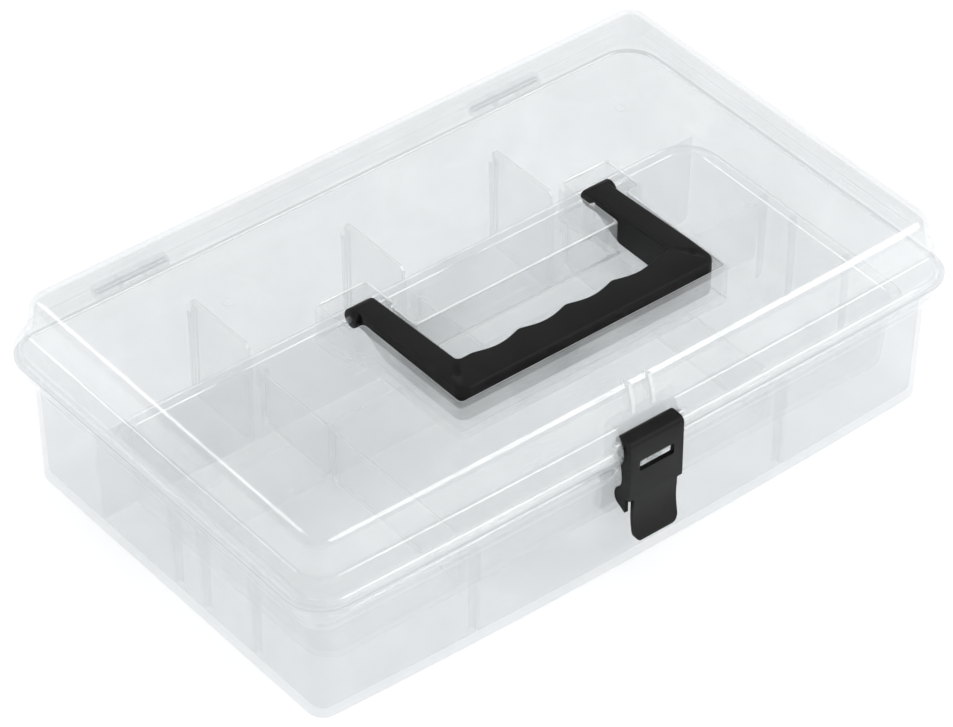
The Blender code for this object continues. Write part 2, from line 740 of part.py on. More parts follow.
def make_tray(mat):
    body = tray_rim_reach
    lean = tray_draft
    r = tray_corner
    t = tray_wall
    rows = [(body + lean + 0.0012, tray_floor_z, r - 0.002), (body + lean, tray_floor_z + 0.0012, r),
            (body, tray_rim_under, r), (0.0, tray_rim_under, r + body),
            (0.0, tray_rim_top, r + body), (body + t, tray_rim_top, r - t),
            (body + lean + t, tray_floor_z + t + tray_fillet, r - t),
            (body + lean + t + tray_fillet, tray_floor_z + t, r - t - 0.001)]
    bm = bmesh.new()
    loft(bm, [tray_ring(*row) for row in rows])
    tray = object_from(bm, "lift_out_tray", mat)

    # the tray's own long wall
    low = tray_floor_z + t - 0.0006
    high = tray_rim_top - 0.0008
    half = tray_half_x - body - t
    wall = box_tool("tray_long_wall", ((-half - 0.0005, -tray_wall_place - t / 2, low),
                                       (half + 0.0005, -tray_wall_place + t / 2, high)))
    bm = bmesh.new()
    loft(bm, [tray_ring(*row) for row in ((body + lean + 0.0005, tray_floor_z + 0.0003, r),
                                          (body + 0.0005, tray_rim_top + 0.001, r))])
    boolean(wall, "INTERSECT", object_from(bm, "tray_fill", cutter=True))
    boolean(tray, "UNION", wall)

    ribs = []
    gap = divider_thickness / 2 + divider_slot_clearance
    ends = tray_row_ends()
    for x in divider_places:
        for row, (front, back) in ends.items():
            if row == "front" and abs(x) < divider_pitch / 2:
                continue
            for side in (-1, 1):
                x1, x2 = x + side * gap, x + side * (gap + guide_rib)
                a, b = min(x1, x2), max(x1, x2)
                ribs.append(((a, front - 0.0012, low + 0.0001), (b, front + guide_rib, high - 0.002)))
                ribs.append(((a, back - guide_rib, low + 0.0001), (b, back + 0.0012, high - 0.002)))
    boolean(tray, "UNION", box_tool("tray_ribs", *ribs))
    return tray


def tray_row_ends():
    """Clear front and back of the tray's two rows, at the floor."""
    inset = tray_rim_reach + tray_draft + tray_wall
    t = tray_wall / 2
    return {"front": (tray_front_y + inset, -tray_wall_place - t),
            "back": (-tray_wall_place + t, tray_back_y - inset)}


def make_divider(name, x, front, back, low, high, foot, mat):
    """A thin plate with trimmed top corners, and foot corners that clear the floor's fillet."""
    gap = divider_end_clearance
    a, b = front + gap, back - gap
    trim = 0.0020
    bm = bmesh.new()
    add_outline(bm, [(a + foot, low), (b - foot, low), (b, low + foot), (b, high - trim),
                     (b - trim, high), (a + trim, high), (a, high - trim), (a, low + foot)],
                "X", x - divider_thickness / 2, x + divider_thickness / 2)
    object_from(bm, name, mat, origin=(x, (a + b) / 2, low))


def make_dividers(mat):
    front = partition_y + partition_thickness / 2
    back = inner_back - wall_draft
    low = floor_thickness + divider_end_clearance
    for x, place in zip(divider_places, divider_names):
        make_divider("rear_divider_" + place, x, front, back, low, low + rear_divider_height,
                     floor_fillet + 0.0004, mat)
    low = tray_floor_z + tray_wall + divider_end_clearance
    for row, (a, b) in tray_row_ends().items():
        for x, place in zip(divider_places, divider_names):
            if row == "front" and place == "centre":
                continue
            make_divider("tray_divider_" + row + "_" + place, x, a, b, low,
                         low + tray_divider_height, tray_fillet + 0.0007, mat)


# ---- build --------------------------------------------------------------------------

clear = make_material("clear_polypropylene", (0.82, 0.87, 0.88), 0.22, alpha=0.35)
black = make_material("black_polypropylene", (0.020, 0.019, 0.018), 0.42)
steel = make_material("steel_pin", (0.60, 0.60, 0.60), 0.30, 1.0)

make_tub(clear)
make_lid(clear)
make_handle(black)
make_latch(black)
make_pins(steel)
make_tray(clear)
make_dividers(clear)
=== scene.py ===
import math

import bpy
import numpy as np
from mathutils import Matrix


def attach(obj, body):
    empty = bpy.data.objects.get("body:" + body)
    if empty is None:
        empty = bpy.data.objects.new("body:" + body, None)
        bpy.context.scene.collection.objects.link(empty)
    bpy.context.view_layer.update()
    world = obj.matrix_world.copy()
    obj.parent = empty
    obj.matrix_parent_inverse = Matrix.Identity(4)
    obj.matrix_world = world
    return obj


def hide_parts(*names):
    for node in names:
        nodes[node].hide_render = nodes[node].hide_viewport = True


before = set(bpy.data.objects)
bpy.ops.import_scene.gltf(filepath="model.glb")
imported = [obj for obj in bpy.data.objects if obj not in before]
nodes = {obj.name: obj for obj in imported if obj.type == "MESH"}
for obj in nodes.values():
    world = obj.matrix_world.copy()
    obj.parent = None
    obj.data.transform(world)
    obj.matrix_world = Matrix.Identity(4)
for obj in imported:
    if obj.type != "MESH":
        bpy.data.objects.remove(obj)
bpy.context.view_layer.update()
print("frame loaded:", len(nodes), "nodes")


# shape tools

def unit(v):
    # each vector divided by its own length
    return v / np.linalg.norm(v, axis=-1, keepdims=True)


def roundOutline(points, radius, steps=6):
    # every corner becomes an arc that touches both of its sides; a corner of radius 0 stays sharp
    p = np.array(points, float)
    r = np.broadcast_to(np.array(radius, float), len(p)).copy()
    back = unit(np.roll(p, 1, 0) - p)
    ahead = unit(np.roll(p, -1, 0) - p)
    half = np.arccos(np.clip((back * ahead).sum(1), -1, 1)) / 2
    reach = r / np.tan(half)
    middle = p + unit(back + ahead) * (r / np.sin(half))[:, None]
    start = p + back * reach[:, None] - middle
    end = p + ahead * reach[:, None] - middle
    cross = start[:, 0] * end[:, 1] - start[:, 1] * end[:, 0]
    turn = np.arctan2(cross, (start * end).sum(1))[:, None] * np.linspace(0, 1, steps + 1)
    c, s = np.cos(turn), np.sin(turn)
    x = middle[:, :1] + start[:, :1] * c - start[:, 1:] * s
    y = middle[:, 1:] + start[:, :1] * s + start[:, 1:] * c
    flat = np.stack([x, y], -1).reshape(-1, 2)
    gap = np.linalg.norm(flat - np.roll(flat, 1, 0), axis=1)
    return flat[gap > 1e-7]


def throughRows(rows, each):
    # a cubic through the rows, whose slope at a row comes from the rows on either side
    p = np.array(rows, float)
    t = np.concatenate([[0], np.cumsum(np.linalg.norm(np.diff(p[:, :2], axis=0), axis=1))])
    slope = np.gradient(p, t, axis=0)
    h = np.diff(t)[:, None, None]
    s = (np.arange(each) / each)[None, :, None]
    a, b = p[:-1, None], p[1:, None]
    m, n = slope[:-1, None], slope[1:, None]
    span = (a * (2 * s ** 3 - 3 * s ** 2 + 1) + m * h * (s ** 3 - 2 * s ** 2 + s)
            + b * (3 * s ** 2 - 2 * s ** 3) + n * h * (s ** 3 - s ** 2))
    return np.vstack([span.reshape(-1, p.shape[1]), p[-1:]])


def ringStack(outset, z, bow, frontIn, reach, radius, middle=0.0, corner=12, run=24):
    # rounded rectangles, one for each height; the front side is crowned by
    # bow * (1 - (x / half length)^2) and may sit further in by frontIn
    outset, z, bow, frontIn, radius = [np.broadcast_to(np.array(v, float), len(z))[:, None]
                                       for v in (outset, z, bow, frontIn, radius)]
    hx, hy = reach[0] + outset, reach[1] + outset
    r = np.maximum(radius + outset, 0.0012)
    angle = np.radians(np.linspace(0, 90, corner + 1))[None]
    side = np.linspace(0, 1, run + 1)[None, 1:-1]
    xs, ys = [], []
    for k, (sx, sy) in enumerate(((1, 1), (-1, 1), (-1, -1), (1, -1))):
        cx, cy = sx * (hx - r), sy * (hy - r) + (frontIn if sy < 0 else 0)
        xs.append(cx + r * np.cos(angle + k * math.pi / 2))
        ys.append(cy + r * np.sin(angle + k * math.pi / 2))
        if k == 2:
            xs.append(-(hx - r) + 2 * (hx - r) * side)
            ys.append(-hy + frontIn + 0 * side)
    x, y = np.hstack(xs), np.hstack(ys)
    crown = bow * (1 - (x / hx) ** 2) * np.clip(-y / (hy - r), 0, 1)
    y = y - crown + middle
    return np.stack([x, y, np.broadcast_to(z, x.shape)], -1)


def meshObject(name, points, faces, materials, faceSlots=None, smoothBelow=35):
    mesh = bpy.data.meshes.new(name)
    mesh.from_pydata(points.tolist(), [], faces)
    for m in materials:
        mesh.materials.append(m)
    if faceSlots is not None:
        mesh.polygons.foreach_set("material_index", np.array(faceSlots, np.int32))
    mesh.update()
    mesh.shade_smooth()
    mesh.set_sharp_from_angle(angle=math.radians(smoothBelow))
    obj = bpy.data.objects.new(name, mesh)
    bpy.context.scene.collection.objects.link(obj)
    return obj


def stackSolid(name, stack, materials, bandSlots=None, smoothBelow=35):
    # a pile of rings with equal counts joined into one closed skin, flat at both ends;
    # the turning sense is set so that the faces look outwards
    rows, count = stack.shape[:2]
    points = stack.reshape(-1, 3)
    i, j = np.meshgrid(np.arange(rows - 1), np.arange(count), indexing="ij")
    k = (j + 1) % count
    quads = np.stack([i * count + j, i * count + k, (i + 1) * count + k, (i + 1) * count + j], -1)
    quads = quads.reshape(-1, 4)
    a, b, c = points[quads[:, 0]], points[quads[:, 1]], points[quads[:, 2]]
    d = points[quads[:, 3]]
    volume = (np.cross(a, b) * c).sum() + (np.cross(a, c) * d).sum()
    first, last = np.arange(count)[::-1], np.arange(count) + (rows - 1) * count
    for cap in (first, last):
        edge = points[cap]
        o = edge.mean(0)
        volume += (np.cross(edge - o, np.roll(edge, -1, 0) - o) @ o).sum()
    faces = [tuple(q) for q in quads.tolist()] + [tuple(first.tolist()), tuple(last.tolist())]
    slots = [0] * len(faces)
    if bandSlots is not None:
        slots[:len(quads)] = np.repeat(np.array(bandSlots), count).tolist()
    if volume < 0:
        faces = [f[::-1] for f in faces]
    return meshObject(name, points, faces, materials, slots, smoothBelow)


def prism(name, outline, axis, low, high, materials, smoothBelow=35):
    # a flat outline carried straight along one axis
    outline = np.array(outline, float)
    order = {"X": (1, 2, 0), "Y": (0, 2, 1), "Z": (0, 1, 2)}[axis]
    stack = np.zeros((2, len(outline), 3))
    stack[:, :, order[0]] = outline[:, 0]
    stack[:, :, order[1]] = outline[:, 1]
    stack[:, :, order[2]] = np.array([low, high])[:, None]
    return stackSolid(name, stack, materials, None, smoothBelow)


def blocks(name, pairs, materials):
    # several boxes in one mesh, each from a low corner to a high corner
    pairs = np.array(pairs, float)
    bits = np.array([[i & 1, i >> 1 & 1, i >> 2 & 1] for i in range(8)])
    points = pairs[:, None, 0] * (1 - bits) + pairs[:, None, 1] * bits
    quads = np.array([[0, 2, 3, 1], [4, 5, 7, 6], [0, 1, 5, 4], [2, 6, 7, 3], [0, 4, 6, 2],
                      [1, 3, 7, 5]])
    faces = (quads[None] + 8 * np.arange(len(pairs))[:, None, None]).reshape(-1, 4)
    return meshObject(name, points.reshape(-1, 3), faces.tolist(), materials)


def rod(name, x1, x2, y, z, radius, materials, steps=40, edge=0.0):
    # a turned profile about a line along X, with its end edges eased by edge
    x1, x2 = min(x1, x2), max(x1, x2)
    e = max(edge, 1e-6)
    along = np.array([x1, x1 + e * 0.3, x1 + e, x2 - e, x2 - e * 0.3, x2])
    size = radius - e * np.array([1, 0.3, 0, 0, 0.3, 1])
    if edge == 0:
        along, size = np.array([x1, x2]), np.array([radius, radius])
    angle = np.linspace(0, 2 * math.pi, steps, endpoint=False)
    stack = np.stack([np.broadcast_to(along[:, None], (len(along), steps)),
                      y + size[:, None] * np.cos(angle), z + size[:, None] * np.sin(angle)], -1)
    return stackSolid(name, stack, materials)


def carve(obj, *steps, smoothBelow=35):
    # joins or cuts tools in order, keeps the result as the mesh and clears the tools away
    for kind, tool in steps:
        mod = obj.modifiers.new(kind.lower(), "BOOLEAN")
        mod.operation, mod.solver, mod.object = kind, "EXACT", tool
        mod.material_mode = "TRANSFER"
    graph = bpy.context.evaluated_depsgraph_get()
    graph.update()
    mesh = bpy.data.meshes.new_from_object(obj.evaluated_get(graph))
    obj.modifiers.clear()
    obj.data = mesh
    for tool in {tool for _, tool in steps}:
        bpy.data.objects.remove(tool, do_unlink=True)
    mesh.shade_smooth()
    mesh.set_sharp_from_angle(angle=math.radians(smoothBelow))
    return obj


def eased(obj, width, segments=3, slot=-1, angle=35):
    # rounds the sharp edges that are left
    weld = obj.modifiers.new("weld", "WELD")
    weld.merge_threshold = 0.00002
    mod = obj.modifiers.new("edges", "BEVEL")
    mod.width, mod.segments, mod.limit_method = width, segments, "ANGLE"
    mod.angle_limit = math.radians(angle)
    mod.harden_normals = True
    mod.material = slot
    mod.use_clamp_overlap = True
    return obj


# finishes

def link(tree, a, b):
    tree.links.new(a, b)


def mouldedGrain():
    # two noises for moulded plastic: fine grain, slow flow marks, and specks where the grain peaks
    group = bpy.data.node_groups.new("mouldedGrain", "ShaderNodeTree")
    face = group.interface
    face.new_socket(name="Grain Scale", in_out="INPUT", socket_type="NodeSocketFloat")
    face.new_socket(name="Flow Scale", in_out="INPUT", socket_type="NodeSocketFloat")
    for name in ("Grain", "Flow", "Specks"):
        face.new_socket(name=name, in_out="OUTPUT", socket_type="NodeSocketFloat")
    n = group.nodes
    start, end = n.new("NodeGroupInput"), n.new("NodeGroupOutput")
    where = n.new("ShaderNodeTexCoord")
    grain = n.new("ShaderNodeTexNoise")
    grain.inputs["Detail"].default_value = 1.0
    flow = n.new("ShaderNodeTexNoise")
    flow.inputs["Detail"].default_value = 1.0
    flow.inputs["Distortion"].default_value = 0.6
    spot = n.new("ShaderNodeMapRange")
    spot.inputs["From Min"].default_value = 0.70
    spot.inputs["From Max"].default_value = 0.76
    for tex in (grain, flow):
        link(group, where.outputs["Object"], tex.inputs["Vector"])
    link(group, start.outputs["Grain Scale"], grain.inputs["Scale"])
    link(group, start.outputs["Flow Scale"], flow.inputs["Scale"])
    link(group, grain.outputs["Fac"], spot.inputs["Value"])
    link(group, grain.outputs["Fac"], end.inputs["Grain"])
    link(group, flow.outputs["Fac"], end.inputs["Flow"])
    link(group, spot.outputs["Result"], end.inputs["Specks"])
    return group


grainGroup = mouldedGrain()


def mathNode(tree, kind, a, b=None):
    node = tree.nodes.new("ShaderNodeMath")
    node.operation = kind
    for socket, value in zip(node.inputs, (a, b)):
        if value is None:
            continue
        if isinstance(value, (int, float)):
            socket.default_value = value
        else:
            link(tree, value, socket)
    return node.outputs[0]


def mapped(tree, value, fromLow, fromHigh, low, high):
    node = tree.nodes.new("ShaderNodeMapRange")
    for name, number in (("From Min", fromLow), ("From Max", fromHigh), ("To Min", low), ("To Max", high)):
        node.inputs[name].default_value = number
    link(tree, value, node.inputs["Value"])
    return node.outputs["Result"]


def plasticBase(name, grainScale, flowScale):
    mat = bpy.data.materials.new(name)
    mat.use_nodes = True
    tree = mat.node_tree
    shader = tree.nodes["Principled BSDF"]
    group = tree.nodes.new("ShaderNodeGroup")
    group.node_tree = grainGroup
    group.inputs["Grain Scale"].default_value = grainScale
    group.inputs["Flow Scale"].default_value = flowScale
    return mat, tree, shader, group


def bumpInto(tree, shader, height, strength, distance):
    bump = tree.nodes.new("ShaderNodeBump")
    bump.inputs["Strength"].default_value = strength
    bump.inputs["Distance"].default_value = distance
    link(tree, height, bump.inputs["Height"])
    link(tree, bump.outputs["Normal"], shader.inputs["Normal"])


clearLook = {
    "faceOpacity": 0.20,      # one face seen square on
    "grazeOpacity": 0.36,     # added where the face turns away
    "shadowShare": 0.15,      # how much of the veil holds back light on its way in
    "tint": (0.94, 0.98, 1.0),
    # the tub's copy of the same plastic, set darker: painted shade for the dimmer light on its walls
    "tubShadeTint": (0.74, 0.775, 0.795),
    # near-white, thicker veil for eased edges and rims: painted highlight lines
    "edgeHighlightTint": (0.93, 0.955, 0.965),
    "edgeHighlightOpacity": 0.50,
    "roughness": 0.16,
}


def clearPlastic(name, tint, opacity, graze, flowScale=34.0):
    # milky polypropylene: each face covers a little of what lies behind it, more at a glancing angle
    mat, tree, shader, group = plasticBase(name, 2600.0, flowScale)
    facing = tree.nodes.new("ShaderNodeLayerWeight")
    facing.inputs["Blend"].default_value = 0.5
    turned = mathNode(tree, "POWER", facing.outputs["Facing"], 3.2)
    veil = mapped(tree, group.outputs["Flow"], 0.30, 0.70, opacity * 0.82, opacity * 1.22)
    specks = mathNode(tree, "MULTIPLY", group.outputs["Specks"], 0.04)
    alpha = mathNode(tree, "ADD", mathNode(tree, "MULTIPLY", turned, graze),
                     mathNode(tree, "ADD", veil, specks))
    alpha = mathNode(tree, "MINIMUM", alpha, 0.96)
    # light passing through is mostly scattered onwards, so shadows are thinner than the veil
    path = tree.nodes.new("ShaderNodeLightPath")
    thin = mapped(tree, path.outputs["Is Shadow Ray"], 0.0, 1.0, 1.0, clearLook["shadowShare"])
    alpha = mathNode(tree, "MULTIPLY", alpha, thin)
    link(tree, alpha, shader.inputs["Alpha"])
    mix = tree.nodes.new("ShaderNodeMix")
    mix.data_type = "RGBA"
    mix.inputs[6].default_value = (*[c * 0.96 for c in tint], 1)
    mix.inputs[7].default_value = (*[min(1.0, c * 1.04) for c in tint], 1)
    link(tree, group.outputs["Flow"], mix.inputs[0])
    link(tree, mix.outputs[2], shader.inputs["Base Color"])
    rough = mapped(tree, group.outputs["Grain"], 0.3, 0.7, clearLook["roughness"] * 0.8,
                   clearLook["roughness"] * 1.3)
    link(tree, rough, shader.inputs["Roughness"])
    shader.inputs["IOR"].default_value = 1.49
    shader.inputs["Specular IOR Level"].default_value = 0.9
    shader.inputs["Coat Weight"].default_value = 1.0
    shader.inputs["Coat Roughness"].default_value = 0.04
    shader.inputs["Coat IOR"].default_value = 2.4   # the veil thins the shine too, so it starts stronger
    bumpInto(tree, shader, group.outputs["Flow"], 0.12, 0.0005)
    return mat


blackLook = {"colour": (0.0040, 0.0038, 0.0035), "worn": (0.0080, 0.0076, 0.0070), "roughness": 0.46}


def blackPlastic(name):
    # satin black moulding with a fine spark-etched grain
    mat, tree, shader, group = plasticBase(name, 3400.0, 60.0)
    mix = tree.nodes.new("ShaderNodeMix")
    mix.data_type = "RGBA"
    mix.inputs[6].default_value = (*blackLook["colour"], 1)
    mix.inputs[7].default_value = (*blackLook["worn"], 1)
    link(tree, mapped(tree, group.outputs["Flow"], 0.35, 0.8, 0.0, 1.0), mix.inputs[0])
    link(tree, mix.outputs[2], shader.inputs["Base Color"])
    rough = mapped(tree, group.outputs["Grain"], 0.3, 0.7, blackLook["roughness"] - 0.06,
                   blackLook["roughness"] + 0.10)
    link(tree, rough, shader.inputs["Roughness"])
    shader.inputs["IOR"].default_value = 1.5
    shader.inputs["Specular IOR Level"].default_value = 0.22
    bumpInto(tree, shader, group.outputs["Grain"], 0.35, 0.00012)
    return mat


def steel(name):
    # drawn wire: bright metal with a fine grain and slow changes of tone
    mat, tree, shader, group = plasticBase(name, 1800.0, 90.0)
    mix = tree.nodes.new("ShaderNodeMix")
    mix.data_type = "RGBA"
    mix.inputs[6].default_value = (0.50, 0.50, 0.51, 1)
    mix.inputs[7].default_value = (0.66, 0.66, 0.65, 1)
    link(tree, group.outputs["Flow"], mix.inputs[0])
    link(tree, mix.outputs[2], shader.inputs["Base Color"])
    link(tree, mapped(tree, group.outputs["Grain"], 0.3, 0.7, 0.22, 0.38), shader.inputs["Roughness"])
    shader.inputs["Metallic"].default_value = 1.0
    bumpInto(tree, shader, group.outputs["Grain"], 0.2, 0.00005)
    return mat


clearMat = clearPlastic("clearPolypropylene", clearLook["tint"], clearLook["faceOpacity"],
                        clearLook["grazeOpacity"])
# a near-white, more opaque copy for eased edges, rims and small ribs: painted highlight lines along them
edgeHighlightMat = clearPlastic("clearPolypropyleneEdgeHighlight", clearLook["edgeHighlightTint"], clearLook["edgeHighlightOpacity"], 0.5)
blackMat = blackPlastic("blackPolypropylene")
steelMat = steel("steelWire")
# darker copy of the clear plastic for the tub: painted shade
tubShadedMat = clearPlastic("clearPolypropyleneTubShaded", clearLook["tubShadeTint"], clearLook["faceOpacity"],
                      clearLook["grazeOpacity"], 28.0)
clearPair = [clearMat, edgeHighlightMat]
tubPair = [tubShadedMat, edgeHighlightMat]
print("finishes made")


# tub

tub = {
    "length": 0.3084, "width": 0.1850, "wallHeight": 0.0464, "wall": 0.0020, "floor": 0.0020,
    "draft": 0.0012, "corner": 0.0085, "bowLow": 0.0035, "bowHigh": 0.0015, "rimHeight": 0.0159,
    "overhang": 0.0074, "lipHeight": 0.0022, "lipThick": 0.0014, "lipGap": 0.0004,
    "partitionThick": 0.0020, "partitionHeight": 0.0456, "rowDepth": 0.0400, "rib": 0.0012,
    "fillet": 0.0030, "ledgeDepth": 0.0050, "ledgeWidth": 0.0020,
}
dividers = {"places": (-0.077, 0.0, 0.077), "thick": 0.0016, "slotGap": 0.0003}
hinge = {"spacing": 0.1900, "radius": 0.0034, "lidKnuckle": 0.0114, "tubKnuckle": 0.0110, "gap": 0.0003,
         "pin": 0.00131, "offset": 0.0043}
lid = {"gap": 0.0004, "rise": 0.0323, "thick": 0.0020, "edge": 0.0022, "frontSlope": 0.0045}

halfX, halfY = tub["length"] / 2, tub["width"] / 2
rimZ = tub["wallHeight"] + tub["rimHeight"]
lidZ = rimZ + lid["gap"]
topZ = lidZ + lid["rise"]
hingeY = halfY + tub["overhang"] + hinge["offset"]
hingeZ = rimZ + lid["gap"] / 2
innerBack = halfY - tub["wall"]
partitionY = innerBack - tub["rowDepth"] - tub["partitionThick"] / 2
bandY = -(halfY + tub["overhang"] + tub["bowHigh"])

latch = {
    "width": 0.0264, "drop": 0.0470, "plate": 0.0022, "cheek": 0.0018, "barrel": 0.0033,
    "pinRadius": 0.0015, "pinAbove": 0.0048, "pinIn": 0.0031, "backGap": 0.0004, "sideGap": 0.0013,
    "tongue": 0.0216, "windowWide": 0.0170, "windowHigh": 0.0050, "notchWall": 0.0022,
}
latchY, latchZ = bandY + latch["pinIn"], lidZ + latch["pinAbove"]
notchY = latchY + latch["barrel"] + latch["backGap"]
notchX = latch["width"] / 2 + latch["sideGap"]
notchTop = latchZ + 0.0075
plateBack = latchY - latch["barrel"] - 0.0003
plateFront = plateBack - latch["plate"]
tongueZ = latchZ - latch["drop"]
windowZ = latchZ - 0.0098


def bowAt(z):
    # the front wall's crown fades in a straight line from the floor up to the rim
    return tub["bowLow"] + (tub["bowHigh"] - tub["bowLow"]) * np.clip(np.array(z) / rimZ, 0, 1)


def tubRows():
    # outset and height up the outside, over the lip and down the inside
    o, h, rise = tub["overhang"], tub["wallHeight"], tub["rimHeight"]
    foot = [(-tub["draft"] - 0.0016, 0.0), (-tub["draft"] - 0.0009, 0.00012),
            (-tub["draft"] - 0.0004, 0.0005),
            (-tub["draft"], 0.0016)]
    wall = [(-tub["draft"] * (1 - s), 0.0016 + (h - 0.0022) * s) for s in (0.25, 0.5, 0.75, 1.0)]
    flare = throughRows([(0.00002, h), (o * 0.11, h + rise * 0.13), (o * 0.49, h + rise * 0.46),
                         (o * 0.76, h + rise * 0.76), (o * 0.94, h + rise * 0.92), (o, h + rise)], 4)
    lip = o - lid["edge"] - tub["lipGap"]
    top = [(lip, rimZ), (lip, rimZ + tub["lipHeight"] - 0.0004), (lip - 0.0004, rimZ + tub["lipHeight"]),
           (lip - tub["lipThick"] + 0.0003, rimZ + tub["lipHeight"]),
           (lip - tub["lipThick"], rimZ + tub["lipHeight"] - 0.0003)]
    slant = tub["wall"] * 1.3
    down = throughRows([(o * 0.86 - slant, h + rise * 0.88), (o * 0.46 - slant + 0.0002, h + rise * 0.46),
                        (o * 0.10 - slant, h + rise * 0.10), (-tub["wall"], h - 0.002)], 4)
    low, f = tub["floor"], tub["fillet"]
    deep = -tub["wall"] - tub["draft"]
    inner = [(-tub["wall"] + (deep + tub["wall"]) * s, h - 0.002 + (low + f - h + 0.002) * s)
             for s in (0.33, 0.66)]
    bend = np.radians(np.linspace(0, 90, 7))
    inner += [(deep - f * (1 - math.cos(a)), low + f * (1 - math.sin(a))) for a in bend]
    outer = np.array(foot + wall + flare.tolist())
    return outer, np.array(top + down.tolist() + inner)


def hinges(which):
    # spans along X of the knuckles: the tub has the two outer ones, the lid the middle one
    spans = []
    for x in (-hinge["spacing"] / 2, hinge["spacing"] / 2):
        half = hinge["lidKnuckle"] / 2
        far = half + hinge["gap"]
        if which == "lid":
            spans.append((x - half, x + half))
        else:
            spans += [(x - far - hinge["tubKnuckle"], x - far), (x + far, x + far + hinge["tubKnuckle"])]
    return spans


def knuckle(name, x1, x2, zLow, zHigh, yIn):
    # a hinge eye on a short arm, its side outline carried along X
    first = math.pi - math.asin((zLow - hingeZ) / hinge["radius"])
    last = 3 * math.pi - math.asin((zHigh - hingeZ) / hinge["radius"])
    a = np.linspace(first, last, 36)
    eye = np.stack([hingeY + hinge["radius"] * np.cos(a), hingeZ + hinge["radius"] * np.sin(a)], 1)
    return prism(name, np.vstack([[(yIn, zHigh), (yIn, zLow)], eye]), "X", x1, x2, clearPair)


def hull(name, rows, bows, shift):
    # the filled outer form, a little inside the real surface
    lean = rows[:, 2] if rows.shape[1] > 2 else 0.0
    return stackSolid(name, ringStack(rows[:, 0] + shift, rows[:, 1], bows, lean, (halfX, halfY),
                                      tub["corner"]),
                      clearPair)


def makeTub():
    outer, inner = tubRows()
    rows = np.vstack([outer, inner])
    slots = np.zeros(len(rows) - 1, int)
    # the lip bands take the edge-highlight copy: painted highlight along the rim
    slots[len(outer) - 1:len(outer) + 4] = 1
    stack = ringStack(rows[:, 0], rows[:, 1], bowAt(rows[:, 1]), 0.0, (halfX, halfY), tub["corner"])
    body = stackSolid("tubShell", stack, tubPair, slots)
    low, half = tub["floor"] * 0.6, tub["partitionThick"] / 2
    fill = hull("fill", outer, bowAt(outer[:, 1]), -tub["wall"] * 0.3)
    fillTwo = hull("fillTwo", outer, bowAt(outer[:, 1]), -tub["wall"] * 0.3)
    wall = blocks("wall", [((-halfX, partitionY - half, low),
                            (halfX, partitionY + half, tub["partitionHeight"]))],
                  tubPair)
    wall = carve(wall, ("INTERSECT", fill))
    ribs = []
    gap = dividers["thick"] / 2 + dividers["slotGap"]
    for x in dividers["places"]:
        for side in (-1, 1):
            a, b = sorted((x + side * gap, x + side * (gap + tub["rib"])))
            ribs.append(((a, innerBack - tub["draft"] - tub["rib"], low),
                         (b, halfY - (tub["wall"] + tub["draft"]) / 2, tub["partitionHeight"])))
            ribs.append(((a, partitionY + half - 0.0005, low + 0.0001),
                         (b, partitionY + half + tub["rib"], tub["partitionHeight"] - 0.001)))
    ledges = []
    for y in (0.002, -0.016, -0.048):
        for side in (-1, 1):
            a, b = sorted((side * (halfX + 0.002), side * (halfX - tub["wall"] - tub["ledgeDepth"])))
            ledges.append(((a, y - tub["ledgeWidth"] / 2, low),
                           (b, y + tub["ledgeWidth"] / 2, tub["partitionHeight"])))
    for x in dividers["places"][::2]:
        ledges.append(((x - tub["ledgeWidth"] / 2, -halfY - 0.0055, low),
                       (x + tub["ledgeWidth"] / 2, -(halfY - tub["wall"] - 0.0036),
                        tub["partitionHeight"])))
    props = carve(blocks("props", ledges, tubPair), ("INTERSECT", fillTwo))
    block = blocks("block", [((-notchX - latch["notchWall"], bandY - 0.004, tub["wallHeight"] - 0.001),
                              (notchX + latch["notchWall"], notchY + latch["notchWall"], rimZ - 0.0004))],
                   tubPair)
    block = carve(block, ("INTERSECT", hull("fillThree", outer, bowAt(outer[:, 1]), -0.0003)))
    notch = blocks("notch", [((-notchX, bandY - 0.01, tub["wallHeight"] - 0.0010),
                              (notchX, notchY, rimZ + 0.004))],
                   tubPair)
    clear = notchX + latch["notchWall"] + tub["lipGap"]
    lipGap = blocks("lipGap", [((-clear, bandY, rimZ + 0.0002),
                                (clear, notchY + latch["notchWall"] + 0.002,
                                 rimZ + tub["lipHeight"] + 0.001))],
                    tubPair)
    tip = plateBack + 0.0003
    toothX = latch["windowWide"] / 2 - 0.0010
    tooth = prism("tooth", [(notchY + 0.001, windowZ - 0.0052), (notchY + 0.001, windowZ + 0.0012),
                            (tip + 0.0012, windowZ + 0.0012), (tip, windowZ), (tip, windowZ - 0.0008)],
                  "X", -toothX, toothX, tubPair)
    steps = [("UNION", wall), ("UNION", blocks("ribs", ribs, tubPair)), ("UNION", props), ("UNION", block),
             ("DIFFERENCE", notch), ("DIFFERENCE", lipGap), ("UNION", tooth)]
    for x1, x2 in hinges("tub"):
        steps.append(("UNION", knuckle("eye", x1, x2, hingeZ - 0.0031, rimZ - 0.0002,
                                       halfY + tub["overhang"] - 0.0028)))
    for x in (-1, 1):
        steps.append(("DIFFERENCE", rod("bore", x * hinge["spacing"] / 2 - 0.019,
                                        x * hinge["spacing"] / 2 + 0.019,
                                        hingeY, hingeZ, hinge["pin"], tubPair)))
    body = carve(body, *steps)
    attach(body, "base")
    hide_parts("base_tub")
    print("tub made:", len(body.data.polygons), "faces")


# lid

